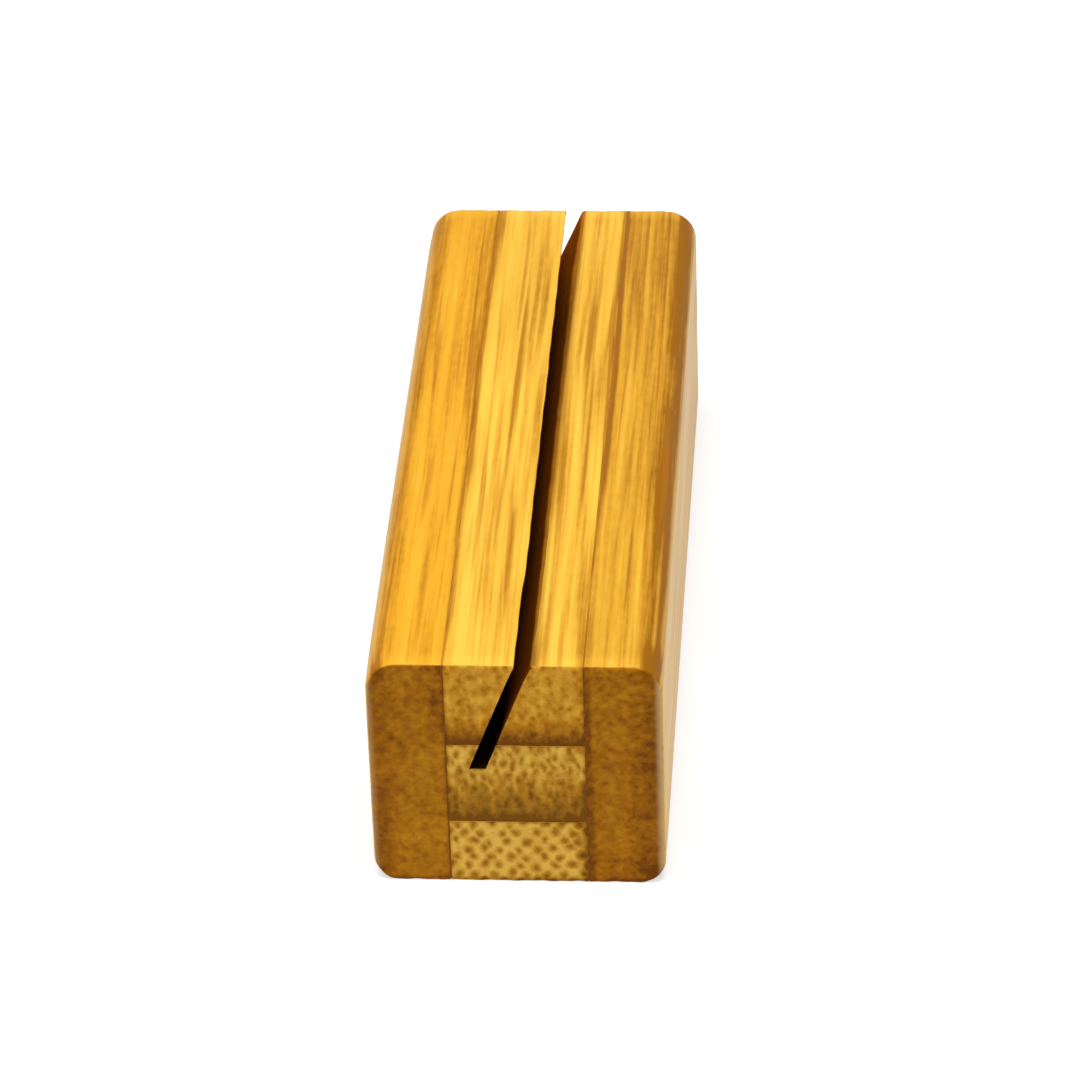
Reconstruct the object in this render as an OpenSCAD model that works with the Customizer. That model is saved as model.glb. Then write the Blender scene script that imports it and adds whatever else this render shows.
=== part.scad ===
// Place card holder: a short block of three-ply bamboo board, with one tilted saw slot along its top
// that holds the lower edge of a card.
// The board has a flat strip on each side and a core of narrower strips laid on each other, all glued.
// X runs across the block, Y along the grain and the slot, and Z up. The origin is the base's middle.

/* [Block] */
// Length of the block, along the grain
block_l = 60; // [30:1:120]
// Width of the block, which is the thickness of the bamboo board
block_w = 20; // [18:0.5:30]
// Height of the block
block_h = 18; // [15:0.25:19.5]
// Radius of the four long edges
long_edge_r = 1.8; // [0.6:0.1:3]
// Radius that the sanded ends are eased to
end_edge_r = 0.15; // [0.1:0.05:0.5]

/* [Strips] */
// Thickness of each side strip, from the block's side to the glue
side_strip_t = 5.2; // [4:0.05:6]
// Height of the bottom core strip, which the cut along the board's edge leaves
bottom_strip_h = 5.05; // [3.5:0.05:6.5]
// Height of the middle core strip
middle_strip_h = 6.25; // [5:0.05:8]
// Thickness of the glue film between two strips
glue_t = 0.12; // [0.05:0.01:0.3]

/* [Slot] */
// Width of the saw cut, square to its walls
slot_w = 1.0; // [0.6:0.05:2.5]
// Depth of the saw cut, from the top face straight down to its level foot
slot_depth = 8.5; // [7:0.1:11]
// Tilt of the saw cut from upright, leaning left on its way down
slot_tilt = 21; // [0:0.5:28]
// Distance of the slot's mouth to the right of the block's middle
slot_offset = 0.65; // [0:0.05:2.5]
// Width of the sanded edge on each lip of the slot
slot_lip_c = 0.15; // [0.05:0.05:0.4]

/* [Hidden] */
// Segments of a full circle
facets = 64;
// How far each cutting shape runs past what it cuts
overrun = 1;

// Heights of the core's layers, from the base up
lower_glue_z = bottom_strip_h;
middle_strip_z = lower_glue_z + glue_t;
upper_glue_z = middle_strip_z + middle_strip_h;
top_strip_z = upper_glue_z + glue_t;

// Inner face of each side strip, and half the core's width
side_glue_x = block_w / 2 - side_strip_t;
core_half_w = side_glue_x - glue_t;

// Height of the slot's foot, and of the lower edge of each sanded lip
slot_foot_z = block_h - slot_depth;
slot_lip_z = block_h - slot_lip_c;
// Half the slot's width, measured level
slot_half_w = slot_w / 2 / cos(slot_tilt);

left = -1;
right = 1;

// Place of the slot's middle plane at a height
function slot_x(z) = slot_offset - (block_h - z) * tan(slot_tilt);

// A rectangle centred on the origin, with each corner an arc
module rounded_rectangle(size_x, size_y, corner_r) {
    square([size_x - 2 * corner_r, size_y], center = true);
    square([size_x, size_y - 2 * corner_r], center = true);
    for (x = [left, right], y = [left, right])
        translate([x * (size_x / 2 - corner_r), y * (size_y / 2 - corner_r)])
            circle(corner_r, $fn = facets);
}

// A round bar along Y, centred on the origin, with its ends eased
module eased_bar(bar_r, bar_l, ease_r) {
    rotate([90, 0, 0])
        rotate_extrude($fn = facets)
            intersection() {
                rounded_rectangle(2 * bar_r, bar_l, ease_r);
                translate([0, -bar_l / 2])
                    square([bar_r, bar_l]);
            }
}

// The whole planed and sanded block, with round long edges and eased ends
module block_blank() {
    flat_w = block_w - 2 * long_edge_r;
    flat_h = block_h - 2 * long_edge_r;
    translate([0, 0, block_h / 2]) {
        rotate([90, 0, 90])
            linear_extrude(flat_w, center = true)
                rounded_rectangle(block_l, block_h, end_edge_r);
        linear_extrude(flat_h, center = true)
            rounded_rectangle(block_w, block_l, end_edge_r);
        for (x = [left, right], z = [left, right])
            translate([x * flat_w / 2, 0, z * flat_h / 2])
                eased_bar(long_edge_r, block_l, end_edge_r);
    }
}

// Turns an end view, drawn in X and Z, into a bar that runs past both ends of the block
module along_grain() {
    translate([0, block_l / 2 + overrun, 0])
        rotate([90, 0, 0])
            linear_extrude(block_l + 2 * overrun)
                children();
}

// End view of what the saw and the sanding of the two lips take away
module slot_section() {
    mouth_half_w = slot_half_w + slot_lip_c;
    polygon([
        [slot_x(slot_foot_z) + slot_half_w, slot_foot_z],
        [slot_x(slot_lip_z) + slot_half_w, slot_lip_z],
        [slot_offset + mouth_half_w, block_h],
        [slot_offset + mouth_half_w, block_h + overrun],
        [slot_offset - mouth_half_w, block_h + overrun],
        [slot_offset - mouth_half_w, block_h],
        [slot_x(slot_lip_z) - slot_half_w, slot_lip_z],
        [slot_x(slot_foot_z) - slot_half_w, slot_foot_z],
    ]);
}

// End view of all that lies on one side of the slot's middle plane
module beside_slot(side) {
    polygon([
        [slot_x(0), 0],
        [slot_x(block_h), block_h],
        [side * block_w, block_h],
        [side * block_w, 0],
    ]);
}

// End view of a layer that spans the core's width
module core_layer(bottom_z, layer_h) {
    translate([-core_half_w, bottom_z])
        square([2 * core_half_w, layer_h]);
}

// End view of an upright layer over the block's whole height, on one side of the core
module side_layer(side, inner_x, layer_t) {
    translate([side == left ? -inner_x - layer_t : inner_x, 0])
        square([layer_t, block_h]);
}

// One piece of the finished block: its end view, less the slot, within the rounded block
module sawn_piece() {
    intersection() {
        block_blank();
        along_grain()
            difference() {
                children();
                slot_section();
            }
    }
}

// Flat strip of dense bamboo over the whole of one side
module side_strip(side) {
    color([0.80, 0.56, 0.18])
        sawn_piece()
            side_layer(side, side_glue_x, side_strip_t);
}

// What the saw leaves of the core's top strip, on one side of the slot
module core_top_strip(side) {
    color([0.93, 0.72, 0.29])
        sawn_piece()
            intersection() {
                core_layer(top_strip_z, block_h - top_strip_z);
                beside_slot(side);
            }
}

// The core's middle strip, which holds the foot of the slot
module core_middle_strip() {
    color([0.87, 0.66, 0.26])
        sawn_piece()
            core_layer(middle_strip_z, middle_strip_h);
}

// The core's bottom strip, the middle part of the block's base
module core_bottom_strip() {
    color([0.90, 0.70, 0.31])
        sawn_piece()
            core_layer(0, bottom_strip_h);
}

// Glue film between a side strip and the core
module side_glue_line(side) {
    color([0.38, 0.22, 0.06])
        sawn_piece()
            side_layer(side, core_half_w, glue_t);
}

// What the saw leaves of the glue film under the top strip, on one side of the slot
module upper_glue_line(side) {
    color([0.38, 0.22, 0.06])
        sawn_piece()
            intersection() {
                core_layer(upper_glue_z, glue_t);
                beside_slot(side);
            }
}

// Glue film between the middle and bottom strips
module lower_glue_line() {
    color([0.38, 0.22, 0.06])
        sawn_piece()
            core_layer(lower_glue_z, glue_t);
}

side_strip(left);  // left_side_strip
side_strip(right);  // right_side_strip
core_top_strip(left);  // core_top_strip_left
core_top_strip(right);  // core_top_strip_right
core_middle_strip();
core_bottom_strip();
side_glue_line(left);  // left_glue_line
side_glue_line(right);  // right_glue_line
upper_glue_line(left);  // upper_glue_line_left
upper_glue_line(right);  // upper_glue_line_right
lower_glue_line();
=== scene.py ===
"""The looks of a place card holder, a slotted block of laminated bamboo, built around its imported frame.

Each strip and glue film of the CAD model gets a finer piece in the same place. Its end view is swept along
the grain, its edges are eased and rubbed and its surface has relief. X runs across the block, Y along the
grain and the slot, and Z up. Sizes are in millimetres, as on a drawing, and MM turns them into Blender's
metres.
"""

import math
from dataclasses import dataclass, replace
from types import SimpleNamespace

import bpy
import numpy as np
from mathutils import Matrix, Vector
from mathutils.geometry import delaunay_2d_cdt


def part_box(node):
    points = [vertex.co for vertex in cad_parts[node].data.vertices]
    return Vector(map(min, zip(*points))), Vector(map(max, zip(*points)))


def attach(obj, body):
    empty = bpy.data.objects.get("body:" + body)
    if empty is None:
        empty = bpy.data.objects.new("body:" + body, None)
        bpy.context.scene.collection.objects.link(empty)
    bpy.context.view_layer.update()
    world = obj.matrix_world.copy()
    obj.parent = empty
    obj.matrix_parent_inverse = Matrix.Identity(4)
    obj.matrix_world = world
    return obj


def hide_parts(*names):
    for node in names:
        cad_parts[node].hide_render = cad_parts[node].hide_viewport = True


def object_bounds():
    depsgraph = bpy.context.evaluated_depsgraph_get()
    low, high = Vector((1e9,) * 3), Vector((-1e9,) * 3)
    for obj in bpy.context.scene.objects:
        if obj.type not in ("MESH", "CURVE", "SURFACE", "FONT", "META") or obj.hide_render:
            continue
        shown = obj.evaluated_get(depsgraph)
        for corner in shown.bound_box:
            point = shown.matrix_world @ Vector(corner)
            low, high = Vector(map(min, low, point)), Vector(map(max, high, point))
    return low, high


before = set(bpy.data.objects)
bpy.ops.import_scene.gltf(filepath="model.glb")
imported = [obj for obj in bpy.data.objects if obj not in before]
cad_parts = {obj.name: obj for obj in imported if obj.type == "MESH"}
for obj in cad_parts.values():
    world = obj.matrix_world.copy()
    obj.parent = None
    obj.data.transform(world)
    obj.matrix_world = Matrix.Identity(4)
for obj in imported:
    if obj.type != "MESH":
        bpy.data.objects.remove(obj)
cad_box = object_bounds()

MM = 0.001
LEFT = -1
RIGHT = 1

# The camera: where it stands around the block, and what it looks at
VIEW_AZIMUTH = 4.548
VIEW_ELEVATION = 33.747
VIEW_ROLL = 1.937
VIEW_DISTANCE = 417.5
VIEW_TARGET = (-1.202, 11.972, 0.0)
LENS = 186.43
SENSOR = 36.0
# In metres, wide enough for any other view
CLIP_START = 0.01
CLIP_END = 10.0

# The block, its strips and its glue films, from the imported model
HALF_L = cad_box[1].y / MM
HALF_W = cad_box[1].x / MM
BLOCK_H = cad_box[1].z / MM
SIDE_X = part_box("right_side_strip")[0].x / MM
CORE_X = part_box("core_bottom_strip")[1].x / MM
BOTTOM_TOP_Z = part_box("core_bottom_strip")[1].z / MM
MIDDLE_Z, MIDDLE_TOP_Z = [corner.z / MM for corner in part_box("core_middle_strip")]
TOP_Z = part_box("core_top_strip_right")[0].z / MM
JOINT_X = (CORE_X + SIDE_X) / 2
LOWER_JOINT_Z = (BOTTOM_TOP_Z + MIDDLE_Z) / 2
UPPER_JOINT_Z = (MIDDLE_TOP_Z + TOP_Z) / 2
LONG_EDGE_R = 1.8

# The slot's end view
SLOT_TILT = math.radians(21)
SLOT_W = 1.0
SLOT_DEPTH = 8.5
SLOT_OFFSET = 0.65
SLOT_HALF_W = SLOT_W / 2 / math.cos(SLOT_TILT)
SLOT_FOOT_Z = BLOCK_H - SLOT_DEPTH
# Width of the rubbed lips: this share of it at the front end, and all of it from this place on
SLOT_LIPS = {LEFT: 0.06, RIGHT: 0.24}
LIP_FRONT = 0.4
LIP_FULL_Y = -20.0
# Beside a lip a narrow flat keeps the top face's shading level
LIP_FLAT = 0.04

# How far the saw wandered
SAW_WANDER = 0.012
# The left wall is a little proud behind the front part
WALL_PROUD = 0.12
WALL_PROUD_Y = (-22.5, -19.0)
WALL_PROUD_DEPTH = 4.0
# The right wall's upper part falls back towards the back end
WALL_FLARE = 0.24
WALL_FLARE_Y = (20.0, 30.0)
WALL_FLARE_DEPTH = 6.3

# The upper long edges are rounder at their ends
TOP_EDGE_WEAR = 0.4
TOP_EDGE_WEAR_L = 4.0
# The ends' edges are eased by this much, with more at the top, the sides and the upper corners
END_EASE = 0.15
TOP_EASE = 0.1
SIDE_EASE = 0.2
CORNER_EASE = 0.15
# What is more comes in over this width, and the easing fades out this far in
EASE_BAND = 1.0
EASE_FADE = 1.2
# A nick in the front end's upper edge
NICK_X = 8.1
NICK_HALF_W = 0.6
NICK_EASE = 0.3
# No easing reaches further along the block than this
MOST_EASE = 0.8
GLUE_RECESS = 0.03

# How far apart the points of the meshes are
EDGE_GAP = 0.2
WALL_GAP = 0.4
JOINT_GAP = 0.6
END_GAP = 0.13
FILM_LEVEL_GAP = 1.0
EASE_STEPS = 4
LIP_STEPS = 5
ARC_STEPS = 16
# Points inside an end face stay this share of their gap away from its outline
OUTLINE_CLEAR = 0.55
# Points nearer than this are the same
SAME_POINT = 1e-7
# Edges that turn by more than this stay sharp in the shading
SHARP_ANGLE = math.radians(40)


def make_camera():
    azimuth, elevation = math.radians(VIEW_AZIMUTH), math.radians(VIEW_ELEVATION)
    back = Vector((
        math.sin(azimuth) * math.cos(elevation),
        -math.cos(azimuth) * math.cos(elevation),
        math.sin(elevation),
    ))
    camera = add_object("camera", bpy.data.cameras.new("camera"))
    level = (-back).to_track_quat("-Z", "Y").to_matrix()
    roll = Matrix.Rotation(-math.radians(VIEW_ROLL), 3, "Z")
    place = (Vector(VIEW_TARGET) + back * VIEW_DISTANCE) * MM
    camera.matrix_world = Matrix.Translation(place) @ (level @ roll).to_4x4()
    camera.data.lens = LENS
    camera.data.sensor_width = SENSOR
    camera.data.clip_start = CLIP_START
    camera.data.clip_end = CLIP_END
    bpy.context.scene.camera = camera


def add_object(name, data):
    made = bpy.data.objects.new(name, data)
    bpy.context.scene.collection.objects.link(made)
    return made


def smooth(value, start, end):
    """0 up to start and 1 from end on, smoothly between them."""
    share = np.clip((value - start) / (end - start), 0, 1)
    return share * share * (3 - 2 * share)


# End views ---------------------------------------------------------------------------------------


class Outline:
    """An end view, drawn anticlockwise as the front shows it, with a mark on each side that the saw cut."""

    def __init__(self):
        self.points = []
        self.sawn = []

    def add(self, points, sawn=False):
        self.points += points
        self.sawn += [sawn] * len(points)

    def line(self, start, end, steps, sawn=False):
        """From start up to, but without, end."""
        (x0, z0), (x1, z1) = start, end
        self.add([(x0 + (x1 - x0) * i / steps, z0 + (z1 - z0) * i / steps) for i in range(steps)], sawn)

    def corner(self, x, z, radius, first_angle):
        """A quarter of a long edge's round around (x, z)."""
        angles = [math.radians(first_angle + 90 * i / ARC_STEPS) for i in range(ARC_STEPS)]
        self.add([(x + radius * math.cos(a), z + radius * math.sin(a)) for a in angles])

    def lip(self, start, peak, end):
        """The rubbed edge between two faces that meet at peak, from start up to, but without, end."""
        (x0, z0), (x1, z1), (x2, z2) = start, peak, end
        for i in range(LIP_STEPS):
            share = i / LIP_STEPS
            first, middle, last = (1 - share) ** 2, 2 * share * (1 - share), share ** 2
            self.add([(first * x0 + middle * x1 + last * x2, first * z0 + middle * z1 + last * z2)], True)


def steps_of(length, gap):
    return max(1, round(length / gap))


def slot_x(z):
    return SLOT_OFFSET - (BLOCK_H - z) * math.tan(SLOT_TILT)


def wall_x(side, z, y):
    """Place of one of the slot's walls, with the saw's slight wander and the wall's own fault."""
    wander = SAW_WANDER * (math.sin(y * 1.7 + z * 0.5 + side) + math.sin(y * 0.61 + side * 2.0) - 1.2)
    if side == LEFT:
        off = WALL_PROUD * smooth(y, *WALL_PROUD_Y) * smooth(z, BLOCK_H - WALL_PROUD_DEPTH, BLOCK_H)
    else:
        off = WALL_FLARE * smooth(y, *WALL_FLARE_Y) * smooth(z, BLOCK_H - WALL_FLARE_DEPTH, BLOCK_H)
    return slot_x(z) + side * (SLOT_HALF_W - wander) + off


def wall(outline, side, start_z, end_z, y, steps):
    heights = [start_z + (end_z - start_z) * i / steps for i in range(steps)]
    outline.add([(wall_x(side, z, y), z) for z in heights], True)


def side_outline(side, y):
    upper_r = LONG_EDGE_R + TOP_EDGE_WEAR * smooth(abs(y), HALF_L - TOP_EDGE_WEAR_L, HALF_L)
    lower_x, upper_x = HALF_W - LONG_EDGE_R, HALF_W - upper_r
    upper_z = BLOCK_H - upper_r
    across = steps_of(lower_x - SIDE_X, EDGE_GAP)
    up = steps_of(BLOCK_H - 2 * LONG_EDGE_R, EDGE_GAP)
    outline = Outline()
    outline.line((SIDE_X, 0), (lower_x, 0), across)
    outline.corner(lower_x, LONG_EDGE_R, LONG_EDGE_R, -90)
    outline.line((HALF_W, LONG_EDGE_R), (HALF_W, upper_z), up)
    outline.corner(upper_x, upper_z, upper_r, 0)
    outline.line((upper_x, BLOCK_H), (SIDE_X, BLOCK_H), across)
    outline.line((SIDE_X, BLOCK_H), (SIDE_X, 0), steps_of(BLOCK_H, JOINT_GAP))
    if side == LEFT:
        outline.points = [(-x, z) for x, z in reversed(outline.points)]
    return outline


def top_outline(side, y):
    """What the saw leaves of the top strip on one side of the slot."""
    lip_w = SLOT_LIPS[side] * (LIP_FRONT + (1 - LIP_FRONT) * smooth(y, -HALF_L, LIP_FULL_Y))
    start_z = BLOCK_H - lip_w
    foot, start = (wall_x(side, TOP_Z, y), TOP_Z), (wall_x(side, start_z, y), start_z)
    peak = (wall_x(side, BLOCK_H, y), BLOCK_H)
    end = (peak[0] + side * lip_w, BLOCK_H)
    flat = (end[0] + side * LIP_FLAT, BLOCK_H)
    top_steps = steps_of(CORE_X - side * SLOT_OFFSET, EDGE_GAP)
    foot_steps = steps_of(CORE_X - side * slot_x(TOP_Z), JOINT_GAP)
    joint_steps = steps_of(BLOCK_H - TOP_Z, JOINT_GAP)
    wall_steps = steps_of(BLOCK_H - TOP_Z, WALL_GAP)
    outline = Outline()
    if side == LEFT:
        outline.line((-CORE_X, TOP_Z), foot, foot_steps)
        wall(outline, side, TOP_Z, start_z, y, wall_steps)
        outline.lip(start, peak, end)
        outline.add([end])
        outline.line(flat, (-CORE_X, BLOCK_H), top_steps)
        outline.line((-CORE_X, BLOCK_H), (-CORE_X, TOP_Z), joint_steps)
    else:
        outline.line(foot, (CORE_X, TOP_Z), foot_steps)
        outline.line((CORE_X, TOP_Z), (CORE_X, BLOCK_H), joint_steps)
        outline.line((CORE_X, BLOCK_H), flat, top_steps)
        outline.add([flat])
        outline.lip(end, peak, start)
        wall(outline, side, start_z, TOP_Z, y, wall_steps)
    return outline


def middle_outline(side, y):
    """The whole middle strip, with the slot's foot in its upper face."""
    left_steps = steps_of(slot_x(MIDDLE_TOP_Z) + CORE_X, JOINT_GAP)
    right_steps = steps_of(CORE_X - slot_x(MIDDLE_TOP_Z), JOINT_GAP)
    up_steps = steps_of(MIDDLE_TOP_Z - MIDDLE_Z, JOINT_GAP)
    wall_steps = steps_of(MIDDLE_TOP_Z - SLOT_FOOT_Z, WALL_GAP)
    foot = [(wall_x(wall_side, SLOT_FOOT_Z, y), SLOT_FOOT_Z) for wall_side in (RIGHT, LEFT)]
    outline = Outline()
    outline.line((-CORE_X, MIDDLE_Z), (CORE_X, MIDDLE_Z), steps_of(2 * CORE_X, JOINT_GAP))
    outline.line((CORE_X, MIDDLE_Z), (CORE_X, MIDDLE_TOP_Z), up_steps)
    outline.line((CORE_X, MIDDLE_TOP_Z), (wall_x(RIGHT, MIDDLE_TOP_Z, y), MIDDLE_TOP_Z), right_steps)
    wall(outline, RIGHT, MIDDLE_TOP_Z, SLOT_FOOT_Z, y, wall_steps)
    outline.line(*foot, steps_of(2 * SLOT_HALF_W, EDGE_GAP), True)
    wall(outline, LEFT, SLOT_FOOT_Z, MIDDLE_TOP_Z, y, wall_steps)
    outline.line((wall_x(LEFT, MIDDLE_TOP_Z, y), MIDDLE_TOP_Z), (-CORE_X, MIDDLE_TOP_Z), left_steps)
    outline.line((-CORE_X, MIDDLE_TOP_Z), (-CORE_X, MIDDLE_Z), up_steps)
    return outline


def box_outline(left_x, right_x, low_z, high_z, base_gap=JOINT_GAP, up_gap=JOINT_GAP):
    """A level rectangle, with its own gap between the points of its base and of its upright sides."""
    across, up = right_x - left_x, high_z - low_z
    outline = Outline()
    outline.line((left_x, low_z), (right_x, low_z), steps_of(across, base_gap))
    outline.line((right_x, low_z), (right_x, high_z), steps_of(up, up_gap))
    outline.line((right_x, high_z), (left_x, high_z), steps_of(across, JOINT_GAP))
    outline.line((left_x, high_z), (left_x, low_z), steps_of(up, up_gap))
    return outline


def bottom_outline(side, y):
    return box_outline(-CORE_X, CORE_X, 0, BOTTOM_TOP_Z, base_gap=EDGE_GAP)


def side_film_outline(side, y):
    left_x, right_x = sorted((side * CORE_X, side * SIDE_X))
    return box_outline(left_x, right_x, GLUE_RECESS, BLOCK_H - GLUE_RECESS, up_gap=EDGE_GAP)


def upper_film_outline(side, y):
    """Flush with the slot's wall."""
    low, high = [(wall_x(side, z, y), z) for z in (MIDDLE_TOP_Z, TOP_Z)]
    joint_low, joint_high = (side * CORE_X, MIDDLE_TOP_Z), (side * CORE_X, TOP_Z)
    steps = steps_of(CORE_X - side * low[0], JOINT_GAP)
    outline = Outline()
    if side == LEFT:
        outline.line(joint_low, low, steps)
        outline.line(low, high, 1, True)
        outline.line(high, joint_high, steps)
        outline.line(joint_high, joint_low, 1)
    else:
        outline.line(low, joint_low, steps)
        outline.line(joint_low, joint_high, 1)
        outline.line(joint_high, high, steps)
        outline.line(high, low, 1, True)
    return outline


def lower_film_outline(side, y):
    return box_outline(-CORE_X, CORE_X, BOTTOM_TOP_Z, MIDDLE_Z, up_gap=EDGE_GAP)


# Meshes ------------------------------------------------------------------------------------------


def edge_ease(x, z, end):
    """How far the edge of one end is eased at a place of the end view."""
    uneven = 0.25 * np.sin(x * 2.3 + end) + 0.2 * np.sin(x * 5.1 + z)
    near_top = smooth(z, BLOCK_H - EASE_BAND, BLOCK_H)
    near_side = smooth(np.abs(x), HALF_W - EASE_BAND, HALF_W)
    near_corner = smooth(np.abs(x) - (HALF_W - LONG_EDGE_R), 0, EASE_BAND)
    near_corner = near_corner * smooth(z, BLOCK_H - 2 * LONG_EDGE_R, BLOCK_H - EASE_BAND)
    ease = END_EASE * (1 + uneven) + CORNER_EASE * near_corner + TOP_EASE * near_top + SIDE_EASE * near_side
    if end < 0:
        nick = np.exp(-((x - NICK_X) / NICK_HALF_W) ** 2) * (z > BLOCK_H / 2)
        ease = ease + NICK_EASE * nick
    return ease


def drawn_in(points, inset):
    """Points of an end view, moved in from the block's outline.

    Those on it move by all of inset, and those deeper in than EASE_FADE stay."""
    x, z = points[:, 0], points[:, 1] - BLOCK_H / 2
    past_x = np.abs(x) - (HALF_W - LONG_EDGE_R)
    past_z = np.abs(z) - (BLOCK_H / 2 - LONG_EDGE_R)
    round_part = (past_x > 0) & (past_z > 0)
    reach = np.where(round_part, np.hypot(past_x, past_z), np.maximum(past_x, past_z))
    weight = np.clip(1 - (LONG_EDGE_R - reach) / EASE_FADE, 0, 1)
    length = np.maximum(reach, SAME_POINT)
    out_x = np.where(round_part, past_x / length, past_x >= past_z) * np.sign(x)
    out_z = np.where(round_part, past_z / length, past_x < past_z) * np.sign(z)
    return points - np.stack([out_x, out_z], 1) * (weight * inset)[:, None]


def ring(points, end, turn, end_y):
    """One loop of the eased end: turn is 0 where the easing starts and a right angle on the end face."""
    ease = edge_ease(points[:, 0], points[:, 1], end)
    moved = drawn_in(points, ease * (1 - math.cos(turn)))
    y = end * (end_y - ease * (1 - math.sin(turn)))
    return np.stack([moved[:, 0], y, moved[:, 1]], 1)


def inner_points(loop, gap):
    """Points of an even, staggered lattice that lie inside a closed loop, not too near it."""
    low, high = loop.min(0), loop.max(0)
    rows = np.arange(low[1] + gap / 2, high[1], gap * math.sqrt(0.75))
    lattice = []
    for i, row in enumerate(rows):
        across = np.arange(low[0] + gap * (0.25 + 0.5 * (i % 2)), high[0], gap)
        lattice.append(np.stack([across, np.full(len(across), row)], 1))
    points = np.concatenate(lattice)
    start, end = loop, np.roll(loop, -1, 0)
    px, pz = points[:, 0:1], points[:, 1:2]
    # Inside, a level ray to the right crosses the loop an odd number of times
    spans = (start[:, 1] > pz) != (end[:, 1] > pz)
    rise = np.where(end[:, 1] == start[:, 1], 1, end[:, 1] - start[:, 1])
    crossing = start[:, 0] + (pz - start[:, 1]) * (end[:, 0] - start[:, 0]) / rise
    inside = (spans & (px < crossing)).sum(1) % 2 == 1
    # How far each point is from the nearest side of the loop
    side = end - start
    share = ((px - start[:, 0]) * side[:, 0] + (pz - start[:, 1]) * side[:, 1]) / (side ** 2).sum(1)
    share = np.clip(share, 0, 1)
    away = np.hypot(px - start[:, 0] - share * side[:, 0], pz - start[:, 1] - share * side[:, 1])
    return points[inside & (away.min(1) > OUTLINE_CLEAR * gap)]


def cap(loop, gap):
    """Points inside a loop, none if gap is 0, and the triangles that fill it.

    The triangles number the loop's own points first."""
    inner = inner_points(loop, gap) if gap else np.zeros((0, 2))
    points = [Vector(point) for point in np.concatenate([loop, inner])]
    only_inside = 1
    made = delaunay_2d_cdt(points, [], [list(range(len(loop)))], only_inside, SAME_POINT)
    faces, origins = made[2], made[3]
    return inner, [tuple(origins[i][0] for i in face) for face in faces]


def sweep(outline_at, side, level_gap, end_y):
    """Loops of points from one end face to the other, with the outline of each place on the block."""
    straight = HALF_L - MOST_EASE
    turns = [math.pi / 2 * i / EASE_STEPS for i in range(EASE_STEPS + 1)]
    front, back = [np.array(outline_at(side, end * HALF_L).points) for end in (-1, 1)]
    rings = [ring(front, -1, turn, end_y) for turn in reversed(turns)]
    for y in np.linspace(-straight, straight, steps_of(2 * straight, level_gap) + 1):
        points = np.array(outline_at(side, y).points)
        rings.append(np.stack([points[:, 0], np.full(len(points), y), points[:, 1]], 1))
    return rings + [ring(back, 1, turn, end_y) for turn in turns]


def build_piece(name, outline_at, side, level_gap, end_gap, end_y, materials):
    """Sweeps an end view, which may change along the block, and closes it with finely divided ends.

    The sawn faces get the second material and the others the first."""
    rings = sweep(outline_at, side, level_gap, end_y)
    sawn_sides = outline_at(side, 0).sawn
    count = len(sawn_sides)
    faces, sawn = [], []
    for j in range(len(rings) - 1):
        for i in range(count):
            a, b = j * count + i, j * count + (i + 1) % count
            faces.append((a, a + count, b + count, b))
            sawn.append(sawn_sides[i])
    points = list(rings)
    for end, first in ((-1, 0), (1, (len(rings) - 1) * count)):
        inner, triangles = cap(rings[0 if end < 0 else -1][:, [0, 2]], end_gap)
        start = sum(len(group) for group in points)
        points.append(np.stack([inner[:, 0], np.full(len(inner), end * end_y), inner[:, 1]], 1))
        for triangle in triangles:
            corners = [first + i if i < count else start + i - count for i in triangle]
            faces.append(corners if end < 0 else corners[::-1])
            sawn.append(False)

    mesh = bpy.data.meshes.new(name)
    mesh.from_pydata((np.concatenate(points) * MM).tolist(), [], faces)
    for material in materials:
        mesh.materials.append(material)
    mesh.polygons.foreach_set("material_index", [int(mark) for mark in sawn])
    return add_object(name, mesh)


# Node fields -------------------------------------------------------------------------------------


def srgb(red, green, blue):
    """A colour as seen on a screen, 0 to 255, as the linear RGBA that the nodes take."""
    shares = [value / 255 for value in (red, green, blue)]
    return [s / 12.92 if s <= 0.04045 else ((s + 0.055) / 1.055) ** 2.4 for s in shares] + [1.0]


class Field:
    """A number, vector or colour at every point of a surface: one output of a node. Sums on it add nodes."""

    def __init__(self, socket):
        self.socket = socket
        self.tree = socket.id_data

    def __add__(self, other):
        return compute("ADD", self, other)

    def __sub__(self, other):
        return compute("SUBTRACT", self, other)

    def __rsub__(self, other):
        return compute("SUBTRACT", other, self)

    def __mul__(self, other):
        return compute("MULTIPLY", self, other)

    def __truediv__(self, other):
        return compute("DIVIDE", self, other)

    __radd__ = __add__
    __rmul__ = __mul__

    def size(self):
        return compute("ABSOLUTE", self)

    def floor(self):
        return compute("FLOOR", self)

    def least(self, other):
        return compute("MINIMUM", self, other)

    def most(self, other):
        return compute("MAXIMUM", self, other)

    def below(self, other):
        return compute("LESS_THAN", self, other)

    def hypot(self, other):
        return compute("SQRT", self * self + other * other)

    def toward(self, other, share):
        """This field where share is 0, and other where it is 1."""
        return self + (other - self) * share

    def rise(self, start, end):
        """0 at start and 1 at end, smoothly, whichever of them is larger."""
        node = add_node(self.tree, "ShaderNodeMapRange", interpolation_type="SMOOTHSTEP")
        feed(self, node.inputs["Value"])
        feed(start, node.inputs["From Min"])
        feed(end, node.inputs["From Max"])
        return Field(node.outputs["Result"])


def add_node(tree, kind, **settings):
    node = tree.nodes.new(kind)
    for name, value in settings.items():
        setattr(node, name, value)
    return node


def feed(value, socket):
    if isinstance(value, Field):
        socket.id_data.links.new(value.socket, socket)
    else:
        socket.default_value = value


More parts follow.
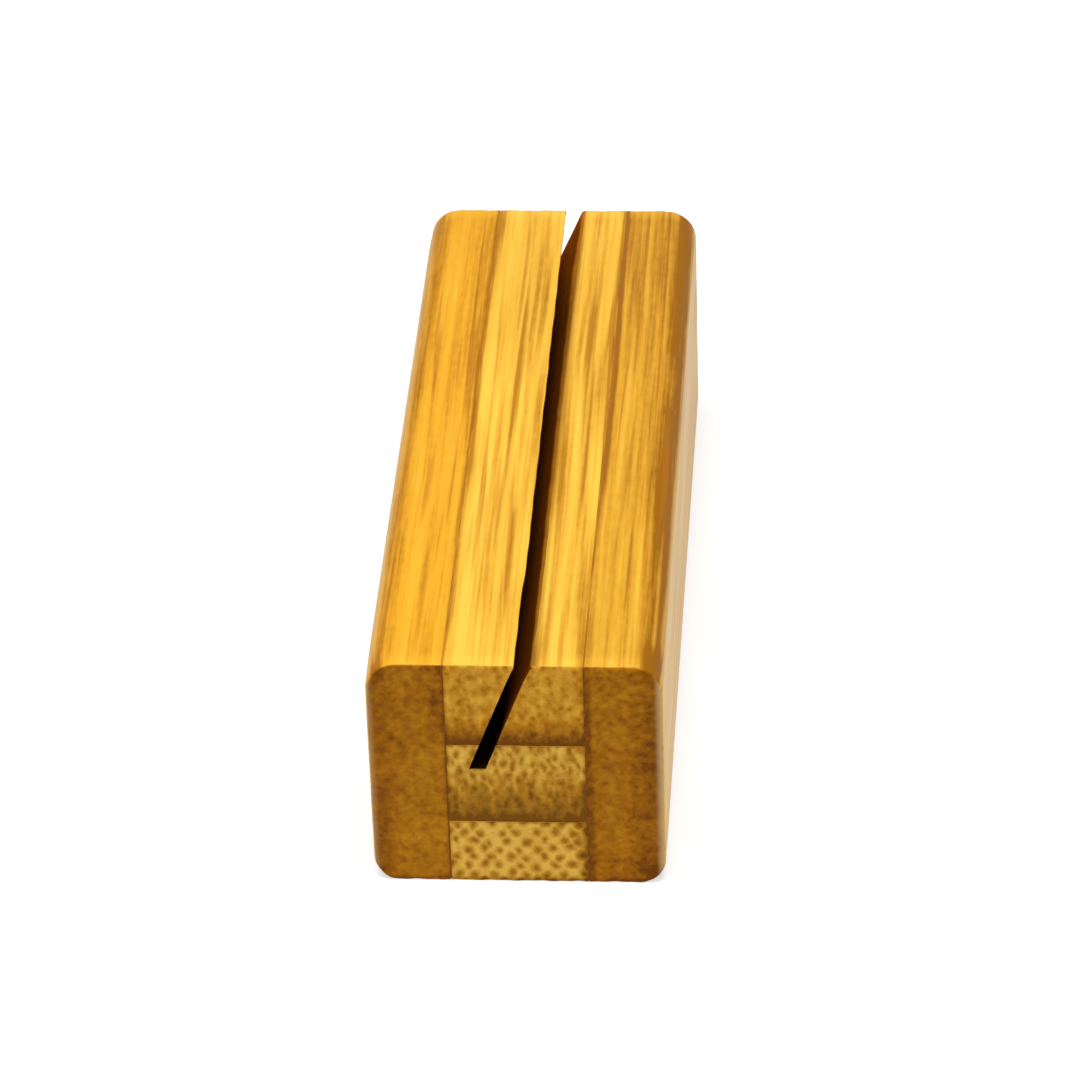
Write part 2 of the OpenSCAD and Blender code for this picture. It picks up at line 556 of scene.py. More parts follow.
def compute(operation, *values):
    tree = next(value.tree for value in values if isinstance(value, Field))
    node = add_node(tree, "ShaderNodeMath", operation=operation)
    for value, socket in zip(values, node.inputs):
        feed(value, socket)
    return Field(node.outputs[0])


def total(*fields):
    return sum(fields[1:], start=fields[0])


def vector(x, y, z):
    node = add_node(x.tree, "ShaderNodeCombineXYZ")
    for value, socket in zip((x, y, z), node.inputs):
        feed(value, socket)
    return Field(node.outputs[0])


def parts(field):
    node = add_node(field.tree, "ShaderNodeSeparateXYZ")
    feed(field, node.inputs[0])
    return [Field(output) for output in node.outputs]


def noise(x, y, z, detail=2.0, roughness=0.5):
    """Smooth noise around 0.5, one bump to a unit. What multiplies a place is its bumps to the millimetre."""
    node = add_node(x.tree, "ShaderNodeTexNoise")
    feed(vector(x, y, z), node.inputs["Vector"])
    feed(1.0, node.inputs["Scale"])
    feed(detail, node.inputs["Detail"])
    feed(roughness, node.inputs["Roughness"])
    return Field(node.outputs["Fac"])


def swing(x, y, z, detail=2.0, roughness=0.5):
    """The same noise around 0."""
    return noise(x, y, z, detail, roughness) - 0.5


def dice(place):
    """Three random shares for a whole-numbered place."""
    node = add_node(place.tree, "ShaderNodeTexWhiteNoise", noise_dimensions="3D")
    feed(place, node.inputs["Vector"])
    return parts(Field(node.outputs["Color"]))


def scale(field, factor):
    """A colour or vector times a number."""
    node = add_node(field.tree, "ShaderNodeVectorMath", operation="SCALE")
    feed(field, node.inputs[0])
    feed(factor, node.inputs["Scale"])
    return Field(node.outputs[0])


def blend(factor, low, high):
    """Colour low where factor is 0 and high where it is 1, each a field or a screen colour."""
    node = add_node(factor.tree, "ShaderNodeMix", data_type="RGBA")
    feed(factor, node.inputs[0])
    # The colour sockets of this node, which has more of the same names for numbers and vectors
    for colour, socket in ((low, node.inputs[6]), (high, node.inputs[7])):
        feed(colour if isinstance(colour, Field) else srgb(*colour), socket)
    return Field(node.outputs[2])


def shades(factor, light, middle, dark):
    """Light, middle and dark screen colours, at factors 0, a half and 1."""
    node = add_node(factor.tree, "ShaderNodeValToRGB")
    feed(factor, node.inputs[0])
    node.color_ramp.elements.new(0.5)
    for element, colour in zip(node.color_ramp.elements, (light, middle, dark)):
        element.color = srgb(*colour)
    return Field(node.outputs["Color"])


# Bamboo ------------------------------------------------------------------------------------------
#
# A tone is 0 for the lightest of a face's three shades and 1 for the darkest. What is added to a tone darkens
# it by so much. In a rise, the first place has none of something and the second all of it.


@dataclass
class Bamboo:
    """One strip's bamboo: strands, the ground between them, and the dark side towards the culm's skin."""

    seed: float
    across: str             # the axis that runs from the culm's inside to its skin
    inner_at: float         # where on that axis the culm's inside would be
    skin_at: float          # where on that axis its skin would be
    gap: float              # between the strands of a row
    row_gap: float          # between every second row
    jitter: float           # of a strand's place, as a share of the gap
    strand_r: float
    soft: float             # how far a strand's edge fades
    stretch: float          # of a strand's end, towards the skin
    drift: float            # how far strands drift in depth along the block
    squiggles: float        # of the darker and lighter ground, to the millimetre
    end_shades: tuple
    end_base: float
    end_strand: float       # added by a strand
    end_squiggle: float     # added by the ground
    end_grit: float         # added by the roughness of the cut
    end_cloud: float        # added by wide clouds
    end_skin: float         # added towards the skin
    skin_from: float        # share of the way to the skin where that starts
    long_shades: tuple
    long_base: float
    long_strand: float      # added by a strand
    long_streak: float      # added by a streak
    # The next is painted light: it darkens the long faces from the front end to the back one
    long_light_falloff: float        # added from the front end to the back one
    long_slant: float = 0.0  # added for each millimetre to the right
    grain_slant: float = 0.0  # of the widest streaks, to the right for each millimetre towards the front


# How far strands sway on both axes, and how far they drift on the axis that doesn't run towards the skin
SWAY = 0.3
DRIFT_X = 0.3
DRIFT_Z = 0.8
# Bumps to the millimetre of these along the block
SWAY_BUMPS = 0.03
DRIFT_BUMPS = 0.035
# How far a row of strands bends, across and deep
BEND_ACROSS = 0.5
BEND_DEEP = 0.3
# A strand's size: the least, and what its random share adds to that
STRAND_SIZES = (0.8, 0.4)
# A strand's pores: two beside its middle, this far out and on, and one this far back
PORE_OUT = 0.085
PORE_ON = 0.02
PORE_BACK = 0.1
# How far from a pore's middle it starts, and where it is full
PORE_EDGE = (0.06, 0.025)

# Depths of the relief: of the lines and strands of the long faces, of the ground between the strands and its
# squiggles on the ends, and of wide soft hollows on both
LINE_DEPTH = 0.012
LONG_STRAND_DEPTH = 0.006
GROUND_DEPTH = 0.012
SQUIGGLE_DEPTH = 0.01
LONG_HOLLOWS = 0.012
END_HOLLOWS = 0.01
# A line lies where its noise is below this
LINE_BELOW = 0.9
# How far from a joint the relief starts, and where it is full
JOINT_FLAT = (0.07, 0.3)

# The streaks' sway, and their layers: bumps to the millimetre across and along the grain, and strength.
# Only the widest slants.
STREAK_SWAY = 0.8
STREAK_WIDEST = (0.45, 0.05, 0.6)
STREAK_LAYERS = ((1.2, 0.045, 1.0), (2.6, 0.07, 1.1), (5.2, 0.1, 0.6))
STREAK_DETAIL = 0.6
# Where in its noise a thin brown line starts, and where it is full
LINE_CUT = (0.61, 0.76)

# How far adhesive has soaked in beside the upright joints, and what comes to that at the right joint, low
# down there, and in patches
SOAK = 0.12
SOAK_RIGHT = 0.15
SOAK_LOW = 0.12
SOAK_PATCHES = 0.4
# The dark skin side above each level joint
SKIN_LINES = ((LOWER_JOINT_Z, 0.6), (UPPER_JOINT_Z, 0.15))

# The painted highlight on the sides of the end faces, thin brown lines, the painted reflection on the left
# long edges, and the darker brown beside the slot's right lip
EDGE_HIGHLIGHT = (240, 205, 150)
BROWN_LINE = (206, 130, 34)
SHEEN_COLOUR = (255, 226, 170)
LIP_BROWN = (124, 72, 14)


def strands(u, v, bamboo):
    """The nearest strand of a staggered, uneven lattice.

    Gives how far off it is across and deep, and its random share."""
    uneven = bamboo.jitter * bamboo.gap
    found = []
    for shift in (0.0, 0.5):
        across = u / bamboo.gap + shift
        deep = v / bamboo.row_gap + shift
        cell_across, cell_deep = across.floor(), deep.floor()
        random = dice(vector(cell_across, cell_deep, bamboo.seed + shift))
        away_u = (across - cell_across - 0.5) * bamboo.gap - (random[0] - 0.5) * uneven
        away_v = (deep - cell_deep - 0.5) * bamboo.row_gap - (random[1] - 0.5) * uneven
        found.append((away_u, away_v / bamboo.stretch, random[2]))
    first, second = found
    second_nearer = second[0].hypot(second[1]).below(first[0].hypot(first[1]))
    return [a.toward(b, second_nearer) for a, b in zip(first, second)]


def bamboo_pattern(bamboo, x, y, z):
    """The strip's pattern at a place in millimetres, all of it solid, so that ends and long faces agree.

    Gives the strand, the pores in it and the skin's nearness from 0 to 1, and a squiggle around 0."""
    seed = bamboo.seed
    sway = swing(x * 0.12 + seed, y * SWAY_BUMPS, z * 0.12, 1.0)
    drift_x = swing(x * 0.25 + 5.0, y * DRIFT_BUMPS, z * 0.7 + seed, 1.0)
    drift_z = swing(x * 0.7, y * DRIFT_BUMPS + seed, z * 0.25, 1.0)
    x = x + sway * SWAY + drift_x * (bamboo.drift if bamboo.across == "x" else DRIFT_X)
    z = z + sway * SWAY + drift_z * (bamboo.drift if bamboo.across == "z" else DRIFT_Z)
    deep, around = (x, z) if bamboo.across == "x" else (z, x)
    skin = ((deep - bamboo.inner_at) / (bamboo.skin_at - bamboo.inner_at)).rise(bamboo.skin_from, 1.0)

    bend = swing(x * 0.9, y * 0.06, z * 0.9 + seed, 1.0)
    away_u, away_v, random = strands(around + bend * BEND_ACROSS, deep + bend * BEND_DEEP, bamboo)
    least, more = STRAND_SIZES
    from_edge = away_u.hypot(away_v) - (least + random * more) * bamboo.strand_r
    strand = from_edge.rise(bamboo.soft, -bamboo.soft)
    from_pore = (away_u.size() - PORE_OUT).hypot(away_v - PORE_ON).least(away_u.hypot(away_v + PORE_BACK))
    pore = from_pore.rise(*PORE_EDGE) * (1.0 - skin)

    fine = bamboo.squiggles
    squiggle = swing(around * fine, y * 0.1 + seed, deep * (fine / bamboo.stretch), 1.0)
    return SimpleNamespace(strand=strand, pore=pore, skin=skin, squiggle=squiggle)


def bamboo_relief(bamboo, x, y, z, end):
    """How deep in millimetres the surface lies below the flat."""
    pattern = bamboo_pattern(bamboo, x, y, z)
    ripple = noise(x * 1.4, y * 0.05 + bamboo.seed, z * 1.4, 1.0)
    soft = noise(x * 0.3, y * 0.12, z * 0.3 + bamboo.seed, 1.0)
    lines = (LINE_BELOW - ripple).most(0.0)
    long_depth = lines * LINE_DEPTH + pattern.strand * LONG_STRAND_DEPTH + soft * LONG_HOLLOWS
    ground = (1.0 - pattern.strand) * GROUND_DEPTH + (pattern.squiggle + 0.5) * SQUIGGLE_DEPTH
    end_depth = ground + soft * END_HOLLOWS
    from_joint = (x.size() - JOINT_X).size()
    if bamboo.across == "z":
        from_joint = from_joint.least((z - LOWER_JOINT_Z).size()).least((z - UPPER_JOINT_Z).size())
    return long_depth.toward(end_depth, end) * from_joint.rise(*JOINT_FLAT)


def surface(tree, colour, roughness, height, bump, specular):
    """Joins a colour, a roughness and a bump height in micrometres to a new material's output."""
    bumps = add_node(tree, "ShaderNodeBump")
    bumps.inputs["Strength"].default_value = bump
    bumps.inputs["Distance"].default_value = MM / 1000
    feed(height, bumps.inputs["Height"])
    shader = add_node(tree, "ShaderNodeBsdfPrincipled")
    feed(colour, shader.inputs["Base Color"])
    feed(roughness, shader.inputs["Roughness"])
    feed(Field(bumps.outputs[0]), shader.inputs["Normal"])
    shader.inputs["Specular IOR Level"].default_value = specular
    output = add_node(tree, "ShaderNodeOutputMaterial")
    feed(Field(shader.outputs[0]), output.inputs["Surface"])


def new_tree(owner):
    """The emptied node tree of a material or a world."""
    owner.use_nodes = True
    owner.node_tree.nodes.clear()
    return owner.node_tree


def new_material(name):
    """An empty material, its tree, and the place on the object in millimetres."""
    material = bpy.data.materials.new(name)
    tree = new_tree(material)
    place = Field(add_node(tree, "ShaderNodeTexCoord").outputs["Object"])
    return material, tree, [part / MM for part in parts(place)]


def end_share(tree, kind):
    """1 on the end faces and 0 on the long ones, from a node that gives the normal."""
    return parts(Field(add_node(tree, kind).outputs["Normal"]))[1].size().rise(0.45, 0.9)


def streaks(bamboo, x, y, z):
    """Lines along the grain that waver and end.

    Gives light and dark ones around 0, and thin brown ones from 0 to 1."""
    seed = bamboo.seed
    x = x + swing(x * 0.15, y * 0.03 + seed, z * 0.15, 1.0) * STREAK_SWAY
    across, along, strength = STREAK_WIDEST
    slanted = x + y * bamboo.grain_slant
    streak = swing(slanted * across + seed, y * along, z * across, STREAK_DETAIL) * strength
    for across, along, strength in STREAK_LAYERS:
        streak = streak + swing(x * across + seed, y * along, z * across, STREAK_DETAIL) * strength
    line = noise(x * 2.4, y * 0.05 + seed, z * 2.4, 0.0).rise(*LINE_CUT)
    return streak, line


def stains_and_light(x, y, z):
    """What darkens or pales the wood beside its joints and along its edges, each from 0 to about 1.

    upright and level are the adhesive and the skin side at the joints. The darker rounded long edges are
    partly dark grain and partly painted shade, at_end is on the front end of these, and the pale outer part
    of the left ones is a painted reflection."""
    patchy = noise(x * 0.8, y * 0.12, z * 0.9)
    to_right = x.rise(-2.0, 2.0)
    from_front = y + HALF_L

    reach = SOAK + to_right * (SOAK_RIGHT + z.rise(11.0, 6.0) * SOAK_LOW) + patchy * SOAK_PATCHES
    off = (x.size() - JOINT_X - to_right * 0.12).size()
    upright = (1.0 - off / reach).rise(0.0, 0.9) * (0.5 + to_right * 0.5)

    level = (z - LOWER_JOINT_Z).size().least((z - UPPER_JOINT_Z).size()).rise(0.28, 0.05)
    for joint_z, strength in SKIN_LINES:
        above = z - joint_z
        level = level + above.rise(1.0, 0.2) * above.rise(0.0, 0.1) * strength
    level = level * x.size().below(JOINT_X)

    past_x = x.size() - (HALF_W - LONG_EDGE_R)
    past_z = (z - BLOCK_H / 2).size() - (BLOCK_H / 2 - LONG_EDGE_R)
    # Darker rounded long edges: partly dark grain, partly painted shade
    edge_grain_and_shade = past_x.rise(0.0, 0.9) * past_z.rise(0.0, 1.1) * (patchy * 0.9 + 0.25) * (0.7 + to_right * 0.3)
    at_end = from_front.rise(1.7 + to_right * 3.0, 0.2) * past_x.rise(-0.1 - to_right * 0.6, 1.2)
    at_end = at_end * past_z.rise(-0.4, 1.0) * (0.5 + patchy)
    # Painted reflection: the pale outer part of the left long edges
    painted_sheen = past_x.rise(1.0, 1.7) * past_z.rise(0.0, 0.8) * x.below(0.0) * from_front.rise(0.8, 2.5)
    return SimpleNamespace(upright=upright, level=level, edge_grain_and_shade=edge_grain_and_shade, at_end=at_end, painted_sheen=painted_sheen)


def from_kerf(x, z):
    """How far a place is from the nearer wall of the slot, measured level."""
    return (x - SLOT_OFFSET + (BLOCK_H - z) * math.tan(SLOT_TILT)).size() - SLOT_HALF_W


def end_shading(x, z):
    """Tones that the end faces take from their place."""
    depth = BLOCK_H - z
    in_left, in_core = (x + JOINT_X).below(0.0), x.below(JOINT_X)
    return total(
        # The upper and the lower border
        depth.rise(0.35, 0.0) * 0.15,
        z.rise(0.5, 0.1) * 0.5,
        # The left side, and the right one, a little more so low down
        x.rise(-7.8, -9.2) * 0.32,
        x.rise(7.2, 8.9) * (0.3 + z.rise(9.0, 3.0) * 0.08),
        # The left strip: darker beside its joint high up, and lighter below
        in_left * x.rise(-6.2, -5.2) * z.rise(11.5, 14.0) * 0.24,
        in_left * z.rise(13.0, 9.0) * -0.08,
        # The core beside its right joint, low down and most in the bottom strip
        in_core * x.rise(3.2, 4.7) * (z.rise(10.0, 6.0) * 0.1 + z.rise(5.2, 4.8) * 0.22),
    )


def end_look(bamboo, x, y, z, pattern, stain_and_light):
    """Colour of the end faces, and the height of their grit in micrometres."""
    grit = swing(x * 4.5, y * 4.5, z * 4.5 + bamboo.seed, 3.0, 0.6)
    cloud = swing(x * 0.35, y * 0.3 + bamboo.seed, z * 0.35, 1.0)
    ground = pattern.strand * bamboo.end_strand + pattern.squiggle * bamboo.end_squiggle
    tone = total(
        ground * (1.0 - pattern.skin * 0.55) + bamboo.end_base,
        pattern.skin * bamboo.end_skin,
        pattern.pore * 0.1,
        grit * bamboo.end_grit,
        cloud * bamboo.end_cloud,
        stain_and_light.upright * 0.42,
        stain_and_light.level * 0.3,
        # Darker rounded edges, partly dark grain and partly painted shade
        stain_and_light.edge_grain_and_shade * 0.2,
        end_shading(x, z),
    )
    # Painted highlight: paler along the sides of the end faces, most on the right
    banding = (HALF_W - x).rise(0.68, 0.1) * 0.7 + (x + HALF_W).rise(0.6, 0.0) * 0.4
    height = pattern.strand * 14.0 + grit * 16.0 - pattern.pore * 30.0
    return blend(banding, shades(tone, *bamboo.end_shades), EDGE_HIGHLIGHT), height


def long_tones_and_light(x, y, z):
    """Tones that the long faces take from their place, with painted highlight, reflection and shade."""
    from_end = HALF_L - y.size()
    from_left, from_right = x + HALF_W, HALF_W - x
    return total(
        # Darker towards the left joint at the back, and along that joint behind the front part
        x.rise(-6.4, -5.2) * x.below(-JOINT_X) * y.rise(-5.0, 20.0) * 0.06,
        (x + JOINT_X).size().rise(0.5, 0.1) * y.rise(-27.0, -12.0) * 0.26,
        # Painted highlight: paler at the two ends. Painted reflection: paler on the right side
        # and on the upper part of the left one
        from_end.rise(1.8, 0.3) * -0.2,
        from_right.rise(0.3, 0.0) * -0.4,
        from_left.rise(0.8, 0.1) * (BLOCK_H - z).rise(6.0, 1.5) * -0.4,
        # A darker band along the right edge, partly dark grain and partly painted shade
        from_right.rise(1.4, 0.8) * from_right.rise(0.2, 0.5) * 0.16,
    )


def long_look(bamboo, x, y, z, pattern, stain_and_light):
    """Colour of the long faces, the height of their grain in micrometres, and their streaks."""
    streak, line = streaks(bamboo, x, y, z)
    fibre = noise(x * 9.0, y * 0.3, z * 9.0 + bamboo.seed)
    grain = swing(x * 2.0, y * 0.9 + bamboo.seed, z * 2.0)
    tone = total(
        # The streaks are fainter towards the back
        streak * bamboo.long_streak * (1.0 - y.rise(0.0, 25.0) * 0.35) + bamboo.long_base,
        pattern.strand * bamboo.long_strand,
        (fibre - 0.5) * 0.4,
        grain * 0.25,
        line * 0.25,
        # Painted light: darker from the front end to the back one
        (y + HALF_L) * (bamboo.long_light_falloff / (2 * HALF_L)),
        x * bamboo.long_slant,
        # Darker rounded long edges, partly dark grain and partly painted shade
        stain_and_light.edge_grain_and_shade * 0.6,
        stain_and_light.at_end * 0.6,
        stain_and_light.upright * (0.25 + y.rise(-28.0, 12.0) * 0.45),
        long_tones_and_light(x, y, z),
    )
    colour = blend(line * 0.3, shades(tone, *bamboo.long_shades), BROWN_LINE)
    height = fibre * 8.0 + (streak + line) * 14.0
    # Painted reflection: paler outer part of the left long edges
    return blend(stain_and_light.painted_sheen * 0.3, colour, SHEEN_COLOUR), height, streak


def lip_darkening(x, y, z):
    """Darker brown on the top face beside the slot's right lip, stronger at the back and right at the front.
    """
    near_lip = x.rise(1.9, 1.35) * x.rise(0.6, 0.7) * (BLOCK_H - z).rise(0.4, 0.2)
    return near_lip * (0.5 + y.rise(-15.0, 15.0) * 0.45 + y.rise(-25.0, -29.0) * 0.35)


def bamboo_material(name, bamboo):
    material, tree, (x, y, z) = new_material(name)
    pattern, stain_and_light = bamboo_pattern(bamboo, x, y, z), stains_and_light(x, y, z)
    end = end_share(tree, "ShaderNodeNewGeometry")
    end_colour, end_height = end_look(bamboo, x, y, z, pattern, stain_and_light)
    long_colour, long_height, streak = long_look(bamboo, x, y, z, pattern, stain_and_light)
    lip = lip_darkening(x, y, z) * (1.0 - end)
    # The end faces are darker right beside the saw cut
    kerf = from_kerf(x, z).rise(0.07, 0.0) * (BLOCK_H - z).rise(0.2, 1.2)
    kerf = kerf * z.rise(SLOT_FOOT_Z - 0.25, SLOT_FOOT_Z)
    colour = blend(end, blend(lip, long_colour, LIP_BROWN), end_colour)
    roughness = 0.34 + end * 0.2 + streak * 0.1 + (stain_and_light.edge_grain_and_shade + lip) * 0.3
    height = long_height.toward(end_height, end)
    surface(tree, scale(colour, 1.0 - kerf * 0.5), roughness, height, bump=0.6, specular=0.09)
    return material


def sawn_material():
    """The slot's walls: paler at the lips and darker deeper down, partly the saw's burn and partly painted
    shade, with the saw's slanting marks.
    """
    material, tree, (x, y, z) = new_material("sawn_bamboo")
    depth = BLOCK_H - z
    marks = noise(x * 0.4, y * 1.1 + z * 0.4, z * 0.08)
    streak = noise(x * 3.0, y * 0.12, z * 3.0)
    banding = depth + (streak - 0.5) * 0.5
    outer = blend(y.rise(-15.0, 25.0), (158, 98, 20), (124, 74, 14))
    lip = blend(depth.rise(0.0, 0.22), outer, (112, 60, 8))
    lip = blend(banding.rise(0.1, 0.7), lip, (104, 52, 4))
    colour = blend(banding.rise(1.4, 3.2), lip, (132, 68, 10))
    # Painted shade: light barely reaches the deep part, and does so best at the open back end
    light = (0.7 + marks * 0.6) * (1.0 - depth.rise(3.6, 6.0) * 0.92) * (1.0 + y.rise(14.0, 30.0) * 1.5)
    roughness = 0.7 + (marks - 0.5) * 0.2
    surface(tree, scale(colour, light), roughness, marks * 20.0 + streak * 10.0, bump=0.6, specular=0.0)
    return material


def glue_material():
    material, tree, (x, y, z) = new_material("cured_glue")
    mottle = noise(x * 3.0, y * 0.25, z * 3.0, 3.0)
    squeeze = noise(x * 8.0, y * 2.0, z * 8.0)
    end = end_share(tree, "ShaderNodeNewGeometry")
    shade = mottle.rise(0.35, 0.65)
    long_colour = blend(shade, (166, 106, 18), (206, 146, 36))
    end_colour = blend(shade, (124, 68, 6), (156, 94, 14))
    # Painted shade: the films go almost black beside the slot
    in_kerf = from_kerf(x, z).rise(0.2, 0.05) * z.rise(SLOT_FOOT_Z - 0.4, SLOT_FOOT_Z)
    colour = scale(blend(end, long_colour, end_colour), 1.0 - in_kerf * 0.985)
    surface(tree, colour, 0.5 + (mottle - 0.5) * 0.2, squeeze * 10.0, bump=0.5, specular=0.12)
    return material


SIDE_RIGHT = Bamboo(
    seed=3.0, across="x", inner_at=JOINT_X, skin_at=HALF_W + 0.6, skin_from=0.6,
    gap=0.7, row_gap=1.1, jitter=0.8, strand_r=0.16, soft=0.24, stretch=1.1, drift=0.5, squiggles=1.5,
    end_shades=((212, 144, 22), (180, 112, 2), (130, 70, 0)),
    end_base=0.38, end_strand=0.14, end_squiggle=1.15, end_grit=0.6, end_cloud=0.8, end_skin=0.0,
    long_shades=((255, 200, 66), (232, 168, 44), (166, 104, 8)),
    long_base=0.38, long_strand=0.1, long_streak=0.75, long_light_falloff=0.26, grain_slant=0.12,
)
SIDE_LEFT = replace(
    SIDE_RIGHT, seed=5.0, inner_at=-JOINT_X, skin_at=-HALF_W - 0.6,
    long_shades=((255, 200, 58), (244, 174, 38), (180, 112, 6)),
    long_base=0.36, long_streak=0.55, long_light_falloff=0.14, grain_slant=0.0,
)
CORE_TOP = Bamboo(
    seed=11.0, across="z", inner_at=BLOCK_H + 1, skin_at=UPPER_JOINT_Z - 0.4, skin_from=0.6,
    gap=0.9, row_gap=1.3, jitter=0.8, strand_r=0.17, soft=0.24, stretch=1.3, drift=0.5, squiggles=1.5,
    end_shades=((255, 196, 68), (208, 138, 22), (126, 74, 0)),
    end_base=0.28, end_strand=0.26, end_squiggle=0.9, end_grit=0.5, end_cloud=0.1, end_skin=0.7,
    long_shades=((255, 210, 76), (246, 184, 58), (194, 132, 22)),
    long_base=0.4, long_strand=0.15, long_streak=1.25, long_light_falloff=0.04, long_slant=0.012, grain_slant=0.03,
)
CORE_MIDDLE = replace(
    CORE_TOP, seed=17.0, inner_at=UPPER_JOINT_Z, skin_at=LOWER_JOINT_Z, skin_from=0.2,
    gap=0.85, row_gap=1.4, jitter=0.7, soft=0.22, stretch=1.6, drift=0.3,
    end_shades=((255, 206, 86), (204, 142, 32), (132, 84, 4)),
    end_base=0.2, end_strand=0.44, end_squiggle=1.3, end_skin=0.6,
)
CORE_BOTTOM = replace(
    CORE_MIDDLE, seed=23.0, inner_at=LOWER_JOINT_Z, skin_at=-4.0, skin_from=0.5,
    gap=1.2, jitter=0.34, strand_r=0.24, soft=0.32, stretch=1.15, drift=0.35,
    end_base=0.04, end_strand=0.72, end_squiggle=0.55, end_cloud=0.5, end_skin=0.1,
)


# Pieces ------------------------------------------------------------------------------------------

# Node, end view, side, gap between the loops along the block, bamboo and material slot
STRIPS = (
    ("left_side_strip", side_outline, LEFT, 0.6, SIDE_LEFT, "side_bamboo"),
    ("right_side_strip", side_outline, RIGHT, 0.6, SIDE_RIGHT, "side_bamboo"),
    ("core_top_strip_left", top_outline, LEFT, 0.3, CORE_TOP, "core_bamboo_light"),
    ("core_top_strip_right", top_outline, RIGHT, 0.3, CORE_TOP, "core_bamboo_light"),
    ("core_middle_strip", middle_outline, LEFT, 0.5, CORE_MIDDLE, "core_bamboo_middle"),
    ("core_bottom_strip", bottom_outline, LEFT, 0.6, CORE_BOTTOM, "core_bamboo_bottom"),
)
# Node, end view and side
FILMS = (
    ("left_glue_line", side_film_outline, LEFT),
    ("right_glue_line", side_film_outline, RIGHT),
    ("upper_glue_line_left", upper_film_outline, LEFT),
    ("upper_glue_line_right", upper_film_outline, RIGHT),
    ("lower_glue_line", lower_film_outline, LEFT),
)


def add_relief(piece, bamboo):
    """Lowers the surface of a piece by its bamboo's relief, and keeps the result as the piece's mesh."""
    tree = bpy.data.node_groups.new(piece.name + "_relief", "GeometryNodeTree")
    tree.interface.new_socket("Geometry", in_out="INPUT", socket_type="NodeSocketGeometry")
    tree.interface.new_socket("Geometry", in_out="OUTPUT", socket_type="NodeSocketGeometry")
    source, sink = add_node(tree, "NodeGroupInput"), add_node(tree, "NodeGroupOutput")
    place = Field(add_node(tree, "GeometryNodeInputPosition").outputs[0])
    normal = Field(add_node(tree, "GeometryNodeInputNormal").outputs[0])
    x, y, z = [part / MM for part in parts(place)]
    depth = bamboo_relief(bamboo, x, y, z, end_share(tree, "GeometryNodeInputNormal"))
    move = add_node(tree, "GeometryNodeSetPosition")
    tree.links.new(source.outputs[0], move.inputs["Geometry"])
    feed(scale(normal, depth * -MM), move.inputs["Offset"])
    tree.links.new(move.outputs[0], sink.inputs[0])
    modifier = piece.modifiers.new("relief", "NODES")
    modifier.node_group = tree
    bpy.context.view_layer.update()
    carved = bpy.data.meshes.new_from_object(piece.evaluated_get(bpy.context.evaluated_depsgraph_get()))
    piece.modifiers.clear()
    flat = piece.data
    piece.data = carved
    carved.name = flat.name + "_carved"
    bpy.data.meshes.remove(flat)


def finish_piece(piece, node):
    piece.data.shade_smooth()
    piece.data.set_sharp_from_angle(angle=SHARP_ANGLE)
    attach(piece, "root")
    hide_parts(node)


def make_block():
    sawn = sawn_material()
    for node, outline_at, side, level_gap, bamboo, slot in STRIPS:
        materials = [bamboo_material(node + "_bamboo", bamboo), sawn]
        piece = build_piece(node + "_wood", outline_at, side, level_gap, END_GAP, HALF_L, materials)
        add_relief(piece, bamboo)
        finish_piece(piece, node)
    glue = glue_material()
    end_y = HALF_L - GLUE_RECESS
    for node, outline_at, side in FILMS:
        piece = build_piece(node + "_film", outline_at, side, FILM_LEVEL_GAP, 0, end_y, [glue, sawn])
        finish_piece(piece, node)


# Floor and light ---------------------------------------------------------------------------------

# In metres
FLOOR_HALF = 2.0
LAMP_SIZE = 0.35
LAMP_PLACE = (0.0, -0.12, 0.6)
LAMP_WATTS = 3.4
# The sky's strength on the object. Where it is seen, its strength is 1.
SKY_LIGHT = 0.25
FLOOR_COLOUR = (225, 225, 225)
# What the camera sees of the floor: its own glow, and the light on this grey, which keeps the shadow
FLOOR_GLOW = 0.65
FLOOR_GREY = (0.5, 0.5, 0.5, 1)


def seen_directly(tree):
    """1 for what the camera sees straight, mirrored or through glass, and 0 for light on the object."""
    path = add_node(tree, "ShaderNodeLightPath")
    seen = Field(path.outputs["Is Camera Ray"]).most(Field(path.outputs["Is Glossy Ray"]))
    return seen.most(Field(path.outputs["Is Transmission Ray"]))


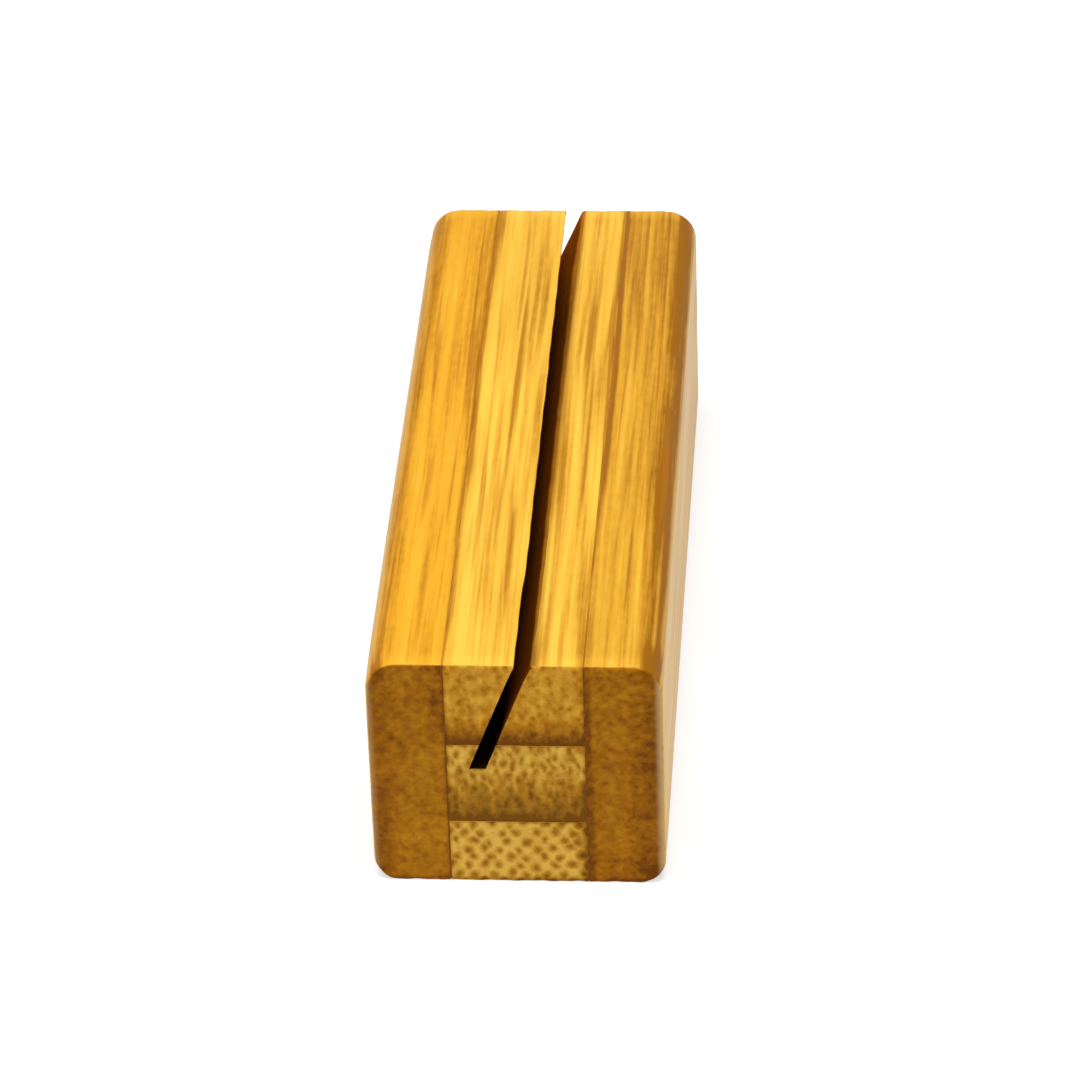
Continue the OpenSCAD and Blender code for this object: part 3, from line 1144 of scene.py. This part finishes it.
def join_shaders(tree, kind, first, second, factor=None):
    """Adds or mixes two shaders."""
    node = add_node(tree, kind)
    shaders = [socket for socket in node.inputs if socket.type == "SHADER"]
    feed(first, shaders[0])
    feed(second, shaders[1])
    if factor:
        feed(factor, node.inputs[0])
    return Field(node.outputs[0])


def add_shader(tree, kind, **values):
    """A shader node with these values on its sockets."""
    node = add_node(tree, kind)
    for name, value in values.items():
        feed(value, node.inputs[name])
    return Field(node.outputs[0])


def make_floor():
    mesh = bpy.data.meshes.new("floor")
    corners = [(x * FLOOR_HALF, y * FLOOR_HALF, 0) for x, y in ((-1, -1), (1, -1), (1, 1), (-1, 1))]
    mesh.from_pydata(corners, [], [(0, 1, 2, 3)])
    material = bpy.data.materials.new("floor")
    tree = new_tree(material)
    plain = add_shader(tree, "ShaderNodeBsdfDiffuse", Color=srgb(*FLOOR_COLOUR))
    shown = add_shader(tree, "ShaderNodeBsdfDiffuse", Color=FLOOR_GREY)
    glow = add_shader(tree, "ShaderNodeEmission", Strength=FLOOR_GLOW)
    lit = join_shaders(tree, "ShaderNodeAddShader", shown, glow)
    either = join_shaders(tree, "ShaderNodeMixShader", plain, lit, seen_directly(tree))
    feed(either, add_node(tree, "ShaderNodeOutputMaterial").inputs["Surface"])
    mesh.materials.append(material)
    add_object("floor", mesh)


def make_light():
    world = bpy.data.worlds.new("studio")
    bpy.context.scene.world = world
    tree = new_tree(world)
    strength = SKY_LIGHT + seen_directly(tree) * (1 - SKY_LIGHT)
    sky = add_shader(tree, "ShaderNodeBackground", Strength=strength)
    feed(sky, add_node(tree, "ShaderNodeOutputWorld").inputs["Surface"])

    lamp = bpy.data.lights.new("softbox", "AREA")
    lamp.shape = "SQUARE"
    lamp.size = LAMP_SIZE
    lamp.energy = LAMP_WATTS
    softbox = add_object("softbox", lamp)
    place = Vector(LAMP_PLACE)
    softbox.location = place
    softbox.rotation_mode = "QUATERNION"
    softbox.rotation_quaternion = (-place).to_track_quat("-Z", "Y")


make_camera()
make_block()
make_floor()
make_light()
bpy.context.scene.view_settings.view_transform = "Standard"
